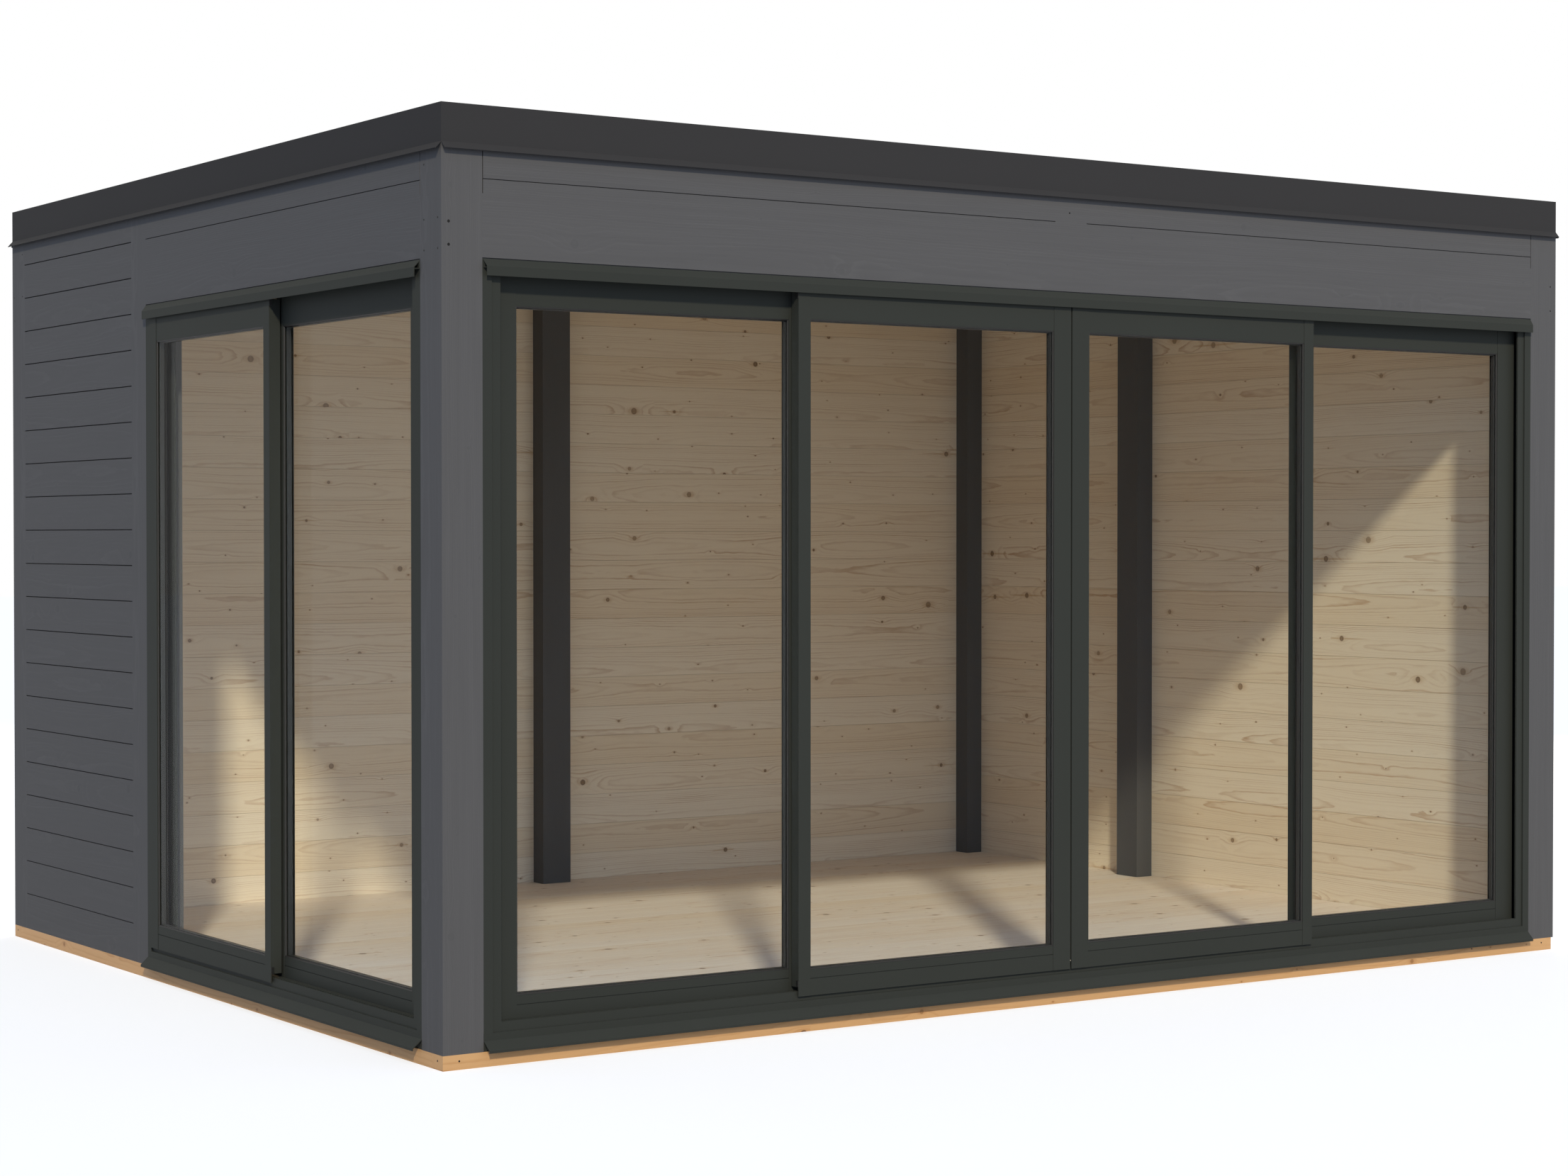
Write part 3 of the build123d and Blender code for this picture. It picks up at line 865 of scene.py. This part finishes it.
# -------------------- sub-assemblies
@dataclass
class BoardField:
    """Boards laid side by side in a flat field, with eased edges and fine joints."""

    name: str
    node: str  # the CAD node that the boards stand for
    pitch: float = BOARD_PITCH
    ease: float = mm(0.5)
    gap: float = mm(0.4)
    up: bool = True  # the eased edges are on the top face, or else underneath
    overcut: float = 0.1  # how far cutters pass the field, and more across the last board

    def tree(self) -> NodeTree:
        """The geometry tree that lays the boards and cuts them round what stands in the field.

        Returns:
            A tree with Pitch, Count, Board, Cutters and Finish as inputs.
        """
        takes = {"Mesh": "Geometry", "Pitch": "Float", "Count": "Int", "Board": "Object",
                 "Cutters": "Object", "Finish": "Material"}
        tree = new_tree(self.name, "Geometry", takes, {"Result": "Geometry"})
        add = partial(add_node, tree)
        given = add("NodeGroupInput").node.outputs
        row = add("GeometryNodeMeshLine", Count=given["Count"],
                  Offset=add("CombineXYZ", Y=given["Pitch"]))
        board, cutters = (add("GeometryNodeObjectInfo", Object=given[name], out="Geometry")
                          for name in ("Board", "Cutters"))
        laid = add("GeometryNodeInstanceOnPoints", Points=row, Instance=board)
        real = add("GeometryNodeRealizeInstances", laid)
        cut = add("GeometryNodeMeshBoolean", real, cutters, Self_Intersection=True,
                  operation="DIFFERENCE", solver="EXACT")
        done = add("GeometryNodeSetMaterial", Geometry=cut, Material=given["Finish"])
        add("NodeGroupOutput", done)
        return tree

    def board(self, low: Vector, high: Vector) -> Mesh:
        """The first board, along X, with both long edges of one face eased.

        Args:
            low: The field's lowest corner.
            high: Its highest corner.

        Returns:
            The mesh.
        """
        y, width = low.y, self.pitch - self.gap
        plain, eased = (low.z, high.z) if self.up else (high.z, low.z)
        shoulder = eased - (self.ease if self.up else -self.ease)
        section = [(y, plain), (y + width, plain), (y + width, shoulder), (y + width - self.ease, eased),
                   (y + self.ease, eased), (y, shoulder)]
        form = Form()
        form.skin([[Vector((x, a, b)) for a, b in section] for x in (low.x, high.x)])
        return form.mesh(self.name + "_board")

    def make(self, finish: Material, slot: str, holes: list[tuple[Vector, Vector]]) -> None:
        """Lays the field over its node's box.

        Args:
            finish: The boards' material.
            slot: The record's slot.
            holes: Boxes cut out of the field.
        """
        low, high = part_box(self.node)
        past = self.overcut
        beyond = (Vector((low.x - past, high.y, low.z - past)),
                  Vector((high.x + past, high.y + 10 * past, high.z + past)))
        form = Form()
        for corners in holes + [beyond]:
            form.block(*corners)
        values = {"Pitch": self.pitch, "Count": math.ceil((high.y - low.y) / self.pitch),
                  "Board": self.board(low, high), "Cutters": form.mesh(self.name + "_cutters"),
                  "Finish": finish}
        field = bake(self.name, bpy.data.meshes.new(self.name), self.tree(), values)
        finish_piece(field, slot, stands_for=(self.node,))


@dataclass
class Carcass:
    """Posts, walls, lintels, base and floor."""

    top_groove: float = 2.328
    lintel_board: float = 0.297  # the lintels are deeper boards, with one joint at the top groove
    # width and start of board, so that no joint falls in one
    post: Pair = (0.6, -0.13)
    bearer: Pair = (0.3, -0.1)
    post_margin: float = mm(3)  # room round a post where the floor is cut
    post_foot: float = 0.1  # how far that cut reaches down, and up a jamb

    def dress(self) -> None:
        """Gives the timbers their finishes."""
        along = {"x": Grain.ALONG_X_WALL, "y": Grain.ALONG_Y_WALL}
        for kind, way, seed, pitch, *nodes in (
                ("boards", "x", 3.0, BOARD_PITCH, "back_wall"),
                ("boards", "y", 61.0, BOARD_PITCH, "left_wall", "right_wall"),
                ("lintel", "x", 107.0, self.lintel_board, "front_header"),
                ("lintel", "y", 113.0, self.lintel_board, "side_header")):
            # joint darkens each board joint with painted shade and dust
            dress(StainedSoftwood(f"stained_spruce_{kind}_along_{way}", along[way], pitch, self.top_groove,
                                  seed=seed, joint=0.18, bare_inside=True).make(), *nodes)
        dress(StainedSoftwood("stained_laminated_post", Grain.UPRIGHT, *self.post, seed=9.0).make(), "_post")
        for way, seed, node in (("x", 5.0, "long_bearers"), ("y", 7.0, "cross_bearers")):
            dress(BareSoftwood(f"treated_bearer_along_{way}", along[way], *self.bearer, "#D0A574",
                               "#B0804D", "#603C1F", "#A0652E", seed).make(), node)

    def lay_floor(self) -> None:
        """Lays the floor boards, cut round the posts and the door sills."""
        figure = SoftwoodFigure(knot_along=0.2, knot_least=mm(3.2), knot_spread=mm(9))
        # joint darkens each board joint with painted shade and dust
        finish = BareSoftwood("floor_board_pine", Grain.ALONG_X_FLAT, BOARD_PITCH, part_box("floor")[0].y,
                              seed=21.0, pale="#F2E6D9", dark="#C39B80", ring_share=0.65,
                              fibre_share=0.24, joint=0.3, figure=figure).make()
        room, foot = Vector((self.post_margin,) * 3), Vector((0, 0, self.post_foot))
        holes = []
        for node in frame["nodes"]:
            if node.endswith(("_post", "_door_sill", "_door_jambs")):
                low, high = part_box(node)
                if node.endswith("_door_jambs"):
                    high.z = low.z + self.post_foot
                holes.append((low - room - foot, high + room))
        BoardField("floor_boards", "floor").make(finish, "floor_boards", holes)


@dataclass
class Fixings:
    """Small black hexagon-socket screws and bolts, where posts, lintels and base are held."""

    spread: Spread
    screw: float = mm(5.5)  # across a screw's head
    bolt: float = mm(8)  # across a bolt's head
    # screws and bolts are given as places along a wall and heights, mm
    front: Pairs = ((2074, 2233), (2074.7, 2152), (-6, 2356), (-2052, 22.8), (1710, 30), (2043.5, 25.1))
    ends: Pairs = ((-1512, 2366), (-1512, 2222), (-1512, 2142), (-1589.7, 2222), (-1589.7, 2142),
                   (1512, 2366), (1512, 2222), (1589.7, 2222), (1589.7, 2142))
    left: Pairs = ((-1580, 24), (1580, 24))
    right: Pairs = ((1512, 2142),)
    back: Pairs = ((-2079, 2211.7), (-2079, 2151.4), (2079, 2233), (2079, 2152), (-6, 2356), (-2052, 24),
                   (-700, 24), (700, 24), (2043, 24))
    bolts: Pairs = ((-2079, 2211.7), (-2079, 2151.4))

    def make(self) -> None:
        """Places all the screws and bolts."""
        black = BLACK_SCREW.make()
        screws = ((Wall.FRONT, self.front), (Wall.LEFT, self.ends + self.left),
                  (Wall.RIGHT, self.ends + self.right), (Wall.BACK, self.back))
        for name, size, rows in (("wall_screws", self.screw, screws),
                                 ("corner_bolts", self.bolt, ((Wall.FRONT, self.bolts),))):
            points = [(wall.place(mm(along), 0.0, mm(height)), wall.outward())
                      for wall, spots in rows for along, height in spots]
            self.spread.piece(name, points, screw_head(), size / 2, black, "painted_timber")


@dataclass
class DoorSets:
    """Frames, leaves and glass of both door sets, with their seals, brushes, plugs and wheels.

    Sections are given in mm: seals and spacer as inset from the pane's edge and depth in the leaf,
    the wheel as radius and place along its axle.
    """

    spread: Spread
    lap: float = mm(8)  # how far a pane runs into its sash
    pane_depth: float = mm(6)  # the outer pane's face, behind the leaf's face
    leaf: float = mm(34)  # a leaf's thickness
    outer_seal: Pairs = ((0, 2.0), (1.8, 1.8), (3.4, 3.2), (4.4, 6.0), (0, 6.0))
    inner_seal: Pairs = ((0, 30), (4.4, 30), (3.4, 32.8), (1.8, 33.8), (0, 34))
    spacer: Pairs = ((0, 10.4), (5.5, 10.4), (6, 11), (6, 25), (5.5, 25.6), (0, 25.6))
    wheel: Pairs = ((2.5, -2.6), (4, -2.4), (4, -2), (9.6, -2), (11, -1.3), (11, 1.3),
                    (9.6, 2), (4, 2), (4, 2.4), (2.5, 2.6))
    wheel_sides: int = 24
    wheel_centre: float = mm(121.7)
    wheel_inset: float = mm(120)  # from a leaf's edges
    track: float = mm(13)  # depth of the outer track's middle
    plugs: Pairs = ((127, 146), (2060, 2078.5))  # foot and head of each, mm
    plug_low: Pair = (mm(-1.5), mm(0.5))  # a plug's reach from the leaf's edge, and its depth
    plug_high: Pair = (mm(3), mm(10))
    plug_ease: float = mm(0.5)
    pile_rows: Triple = (mm(130), mm(2076), mm(2.5))  # foot, head and pitch of the tufts
    tuft: Pairs = ((0.3, -0.1), (0.34, 0.5), (0.3, 0.9), (0.12, 0.98))
    tuft_sides: int = 6
    lean: float = 0.12  # of the tufts
    interlock_inset: float = mm(12)  # from a leaf's edge
    interlock_reach: float = mm(5.2)
    meeting_depth: float = mm(4.5)
    meeting_reach: float = mm(3.8)
    fin: Pair = (mm(1.5), mm(2))  # near and far face, behind the meeting brush
    fin_gap: float = mm(0.2)  # left open before the other leaf

    def dress(self) -> None:
        """Gives the frames, flashings, leaves and panes their finishes."""
        dress(POWDER_COAT.make(), "_door_head", "_door_jambs", "_door_sill", "_flashing", "_sash")
        dress(FloatGlass().make(), "_glass")

    def fit(self) -> None:
        """Fits every leaf, and the moving ones with what runs and seals them."""
        self.rubber, self.bar = GLAZING_SEAL.make(), SPACER_BAR.make()
        self.nylon, self.pile = BLACK_NYLON.make(), BRUSH_PILE.make()
        for node in [node for node in frame["nodes"] if node.endswith("_glass")]:
            leaf = node[:-len("_glass")]
            wall = Wall.FRONT if leaf.startswith("front") else Wall.LEFT
            body = body_of(frame["nodes"][node])[0]
            self.glaze(leaf, wall, body)
            if body != BUILDING:
                self.run(leaf, wall, body)
        self.meet()

    def glaze(self, leaf: str, wall: Wall, body: str) -> None:
        """Fits one leaf's seals and spacer bar.

        Args:
            leaf: The leaf's name.
            wall: Its wall.
            body: The body it rides on.
        """
        low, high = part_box(leaf + "_glass")
        face = wall.depth(low, high) - self.pane_depth
        first = (wall.along(low) + self.lap, low.z + self.lap)
        last = (wall.along(high) - self.lap, high.z - self.lap)

        def place(along: float, depth: float, height: float) -> Vector:
            """A point given from the leaf's face."""
            return wall.place(along, face + depth, height)

        for name, sections, material in (("_seals", (self.outer_seal, self.inner_seal), self.rubber),
                                         ("_spacer", (self.spacer,), self.bar)):
            form = Form()
            for section in sections:
                form.mitred(first, last, section, place)
            form.piece(leaf + name, material, "door_leaf", body)

    def run(self, leaf: str, wall: Wall, body: str) -> None:
        """Fits a sliding leaf's guide wheels, end plugs and interlock brush.

        Args:
            leaf: The leaf's name.
            wall: Its wall.
            body: The body it rides on.
        """
        low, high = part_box(leaf + "_sash")
        face = wall.depth(low, high)
        edges = (wall.along(low), wall.along(high))
        lock_edge, inward = (edges[1], -1) if leaf == "front_sliding_right" else (edges[0], 1)

        wheels = Form()
        for centre in (edges[0] + self.wheel_inset, edges[1] - self.wheel_inset):
            wheels.turned([(mm(r), mm(h)) for r, h in self.wheel], self.wheel_sides,
                          lambda a, h, c, centre=centre: wall.place(centre + a, self.track + h,
                                                                    self.wheel_centre + c))
        wheels.piece(leaf + "_wheels", self.nylon, "door_leaf", body)

        plugs = Form()
        for heights in self.plugs:
            plugs.block(*(wall.place(lock_edge + inward * reach, face + depth, mm(height))
                          for (reach, depth), height in zip((self.plug_low, self.plug_high), heights)),
                        self.plug_ease)
        plugs.piece(leaf + "_end_plugs", self.nylon, "door_leaf", body)
        self.brush(leaf + "_interlock_brush", body, -wall.outward(), self.interlock_reach,
                   lambda height: wall.place(lock_edge + inward * self.interlock_inset, face + self.leaf,
                                             height))

    def brush(self, name: str, body: str, way: Vector, reach: float,
              place: Callable[[float], Vector]) -> None:
        """Sets a row of pile tufts up a leaf.

        Args:
            name: The piece's name.
            body: The body it rides on.
            way: The way the pile points.
            reach: Length of the pile.
            place: Gives the tufts' root for a height.
        """
        foot, head, pitch = self.pile_rows
        points = [(place(foot + i * pitch), way) for i in range(int((head - foot) / pitch))]
        tuft = Form()
        tuft.turned(self.tuft, self.tuft_sides, lambda a, h, c: Vector((a, c, h)))
        self.spread.piece(name, points, tuft.mesh(name + "_tuft"), reach, self.pile, "door_leaf", body,
                          self.lean, len(name))

    def meet(self) -> None:
        """Sets the brush between the two middle leaves, and the fin in it that stops the light."""
        low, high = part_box("front_sliding_left_sash")
        depth = Wall.FRONT.depth(low, high) + self.meeting_depth
        self.brush("front_meeting_brush", "front_left_leaf", Vector((1.0, 0.0, 0.0)), self.meeting_reach,
                   lambda height: Wall.FRONT.place(high.x, depth, height))
        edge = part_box("front_sliding_right_sash")[0].x - self.fin_gap
        fin = Form()
        fin.block(Wall.FRONT.place(high.x, depth + self.fin[0], low.z),
                  Wall.FRONT.place(edge, depth + self.fin[1], high.z))
        fin.piece("front_meeting_fin", self.rubber, "door_leaf", "front_left_leaf")


@dataclass
class Roof:
    """Deck, covering and metal edge. Sections are inset from the covering's edge and height, mm."""

    spread: Spread
    upstand: Pairs = ((0, 2442), (26, 2442), (24, 2443.2), (4.5, 2462), (2.2, 2466),
                      (2.2, 2505), (0, 2505))
    bar: Pairs = ((2.2, 2480), (5.0, 2480), (5.6, 2481), (5.6, 2501.5), (5.0, 2502.5),
                  (2.2, 2502.5))
    screw: float = mm(4.5)  # across half a screw's head
    screw_pitch: float = 0.2
    screw_inset: float = mm(5.6)
    screw_height: float = mm(2491)
    lap_places: Pair = (-0.69, 0.69)
    lap_half: float = mm(37.5)
    lap_rise: float = mm(1.4)
    lap_bevel: float = mm(1.5)
    lap_inset: float = mm(24)  # where the laps stop short of the edge
    joist: Pair = (0.5, 2.0)  # width and start of board, so that no joint falls in one
    board_ease: float = mm(1.5)

    def dress(self) -> None:
        """Gives the roof's parts their finishes."""
        dress(COATED_SHEET.make(), "_fascia")
        self.rubber = RubberSheet().make()
        dress(self.rubber, "roof_membrane")
        dress(BareSoftwood("roof_joist_spruce", Grain.ALONG_Y_WALL, *self.joist, seed=31.0).make(),
              "roof_joists")

    def lay_deck(self) -> None:
        """Lays the roof boards, with their eased edges to the room."""
        finish = BareSoftwood("roof_board_spruce", Grain.ALONG_X_FLAT, BOARD_PITCH,
                              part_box("roof_deck")[0].y, seed=43.0).make()
        boards = BoardField("roof_boards", "roof_deck", ease=self.board_ease, up=False)
        boards.make(finish, "roof_timber", [])

    def cover(self) -> None:
        """Turns the covering up inside the edge, laps its sheets and clamps it with a screwed bar."""
        low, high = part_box("roof_membrane")

        def place(x: float, height: float, y: float) -> Vector:
            """A point in plan at a height."""
            return Vector((x, y, height))

        turned_up = Form()
        turned_up.mitred(low.xy, high.xy, self.upstand, place)
        half, top = self.lap_half, self.lap_half - self.lap_bevel
        for x in self.lap_places:
            section = [(-half, 0.0), (half, 0.0), (top, self.lap_rise), (-top, self.lap_rise)]
            turned_up.skin([[Vector((x + a, y, high.z + b)) for a, b in section]
                            for y in (low.y + self.lap_inset, high.y - self.lap_inset)])
        turned_up.piece("roof_upstand", self.rubber, "roof_covering")

        clamp = Form()
        clamp.mitred(low.xy, high.xy, self.bar, place)
        clamp.piece("roof_clamping_bar", CLAMPING_BAR.make(), "roof_edge_sheet")

        points = []
        for axis, other in ((0, 1), (1, 0)):
            length = high[axis] - low[axis]
            count = round(length / self.screw_pitch)
            for side, edge in ((1, low[other] + self.screw_inset), (-1, high[other] - self.screw_inset)):
                for i in range(count):
                    spot, way = Vector((0.0, 0.0, self.screw_height)), Vector((0.0, 0.0, 0.0))
                    spot[axis], spot[other] = low[axis] + (i + 0.5) * length / count, edge
                    way[other] = side
                    points.append((spot, way))
        self.spread.piece("roof_bar_screws", points, screw_head(), self.screw, STEEL_SCREW.make(),
                          "roof_edge_sheet")


# -------------------- studio
def seen(add: Adder) -> NodeSocket:
    """A socket with 1 for a ray from the camera, a gloss or a glass."""
    ray = add("LightPath").node.outputs
    return add("Math MAXIMUM", ray["Is Camera Ray"],
               add("Math MAXIMUM", ray["Is Glossy Ray"], ray["Is Transmission Ray"]))


@dataclass(frozen=True)
class StudioFloor(Finish):
    """Matt pale paint, lifted to white where it is seen, which keeps the building's shadow."""

    name: str = "pale_studio_floor"
    colour: str = "#B8B8B8"
    lift: float = 0.6

    def surface(self, add: Adder) -> NodeSocket:
        """Paint, with the lift for the rays that see it.

        Args:
            add: Adds a node to the material.

        Returns:
            The shader.
        """
        matt = add("BsdfDiffuse", Color=self.colour)
        both = add("AddShader", matt, add("Emission", Color=WHITE, Strength=self.lift))
        return add("MixShader", seen(add), matt, both)


@dataclass(frozen=True)
class SoftPanel:
    """A wide soft light that the camera, gloss and glass don't see."""

    name: str
    place: Triple
    aim: Triple
    power: float
    colour: Triple = (1.0, 1.0, 1.0)
    size: Pair = (8.0, 5.0)

    def hang(self) -> None:
        """Adds the light to the scene."""
        lamp = bpy.data.lights.new(self.name, "AREA")
        lamp.shape, lamp.energy, lamp.color = "RECTANGLE", self.power, self.colour
        lamp.size, lamp.size_y = self.size
        obj = put(self.name, lamp)
        obj.location = self.place
        obj.rotation_euler = (Vector(self.aim) - Vector(self.place)).to_track_quat("-Z", "Y").to_euler()
        obj.visible_camera = obj.visible_glossy = obj.visible_transmission = False


@dataclass
class Studio:
    """A plain pale floor, soft plain light and the camera."""

    camera_place: Triple = (-5.7182, -8.5895, 1.3910)
    yaw: float = 33.887  # degrees from +Y towards +X
    pitch: float = -0.965
    lens: float = 69.1  # mm, as is the sensor's width
    sensor: float = 36.0
    far: float = 500.0
    key_direction: Triple = (0.56, 1.0, -0.757)
    key_strength: float = 2.3
    key_colour: Triple = (1.0, 0.9, 0.7)
    key_angle: float = 4.0
    ambient: float = 0.50
    ambient_colour: tuple[float, float, float, float] = (0.75, 0.98, 1.44, 1.0)
    panels: tuple[SoftPanel, ...] = (
        SoftPanel("front_fill", (2.5, -9.0, 3.0), (0.0, 0.5, 0.8), 95.0),
        SoftPanel("back_fill", (7.0, 7.5, 4.5), (0.0, 0.0, 1.2), 600.0, (1.0, 0.84, 0.6)))
    floor_half: float = 60.0
    clear_bounces: int = 32  # light passes four faces of glass in each leaf, and often two leaves

    def camera(self) -> None:
        """Places the camera."""
        data = bpy.data.cameras.new("camera")
        data.lens, data.sensor_width, data.clip_end = self.lens, self.sensor, self.far
        obj = bpy.context.scene.camera = put("camera", data)
        obj.location = self.camera_place
        obj.rotation_euler = (math.radians(90 + self.pitch), 0.0, math.radians(-self.yaw))

    def lights(self) -> None:
        """Adds a soft key light and an even surround that the camera, gloss and glass see as white."""
        lamp = bpy.data.lights.new("key", "SUN")
        lamp.energy, lamp.angle, lamp.color = self.key_strength, math.radians(self.key_angle), self.key_colour
        put("key", lamp).rotation_euler = Vector(self.key_direction).to_track_quat("-Z", "Y").to_euler()
        for panel in self.panels:
            panel.hang()
        bpy.context.scene.cycles.transparent_max_bounces = self.clear_bounces

        world = bpy.data.worlds.new("surround")
        bpy.context.scene.world = world
        world.use_nodes = True
        world.node_tree.nodes.clear()
        add = partial(add_node, world.node_tree)
        soft = add("Background", Color=self.ambient_colour, Strength=self.ambient)
        white = add("Background", Color=WHITE, Strength=1.0)
        add("OutputWorld", add("MixShader", seen(add), soft, white))

    def floor(self) -> None:
        """Lays the pale floor, which keeps the building's shadow."""
        half = self.floor_half
        mesh = bpy.data.meshes.new("studio_floor")
        mesh.from_pydata([(-half, -half, 0), (half, -half, 0), (half, half, 0), (-half, half, 0)], [],
                         [(0, 1, 2, 3)])
        put("studio_floor", mesh, StudioFloor().make())


def main() -> None:
    """Builds everything in order."""
    logging.basicConfig(level=logging.INFO, format="%(name)s: %(message)s")
    bpy.context.scene.view_settings.view_transform = "Standard"
    spread = Spread()
    studio, carcass, doors, roof = Studio(), Carcass(), DoorSets(spread), Roof(spread)
    for step in (studio.camera, studio.lights, studio.floor, carcass.dress, carcass.lay_floor,
                 Fixings(spread).make, doors.dress, doors.fit, roof.dress, roof.lay_deck, roof.cover):
        step()


if __name__ == "__main__":
    main()
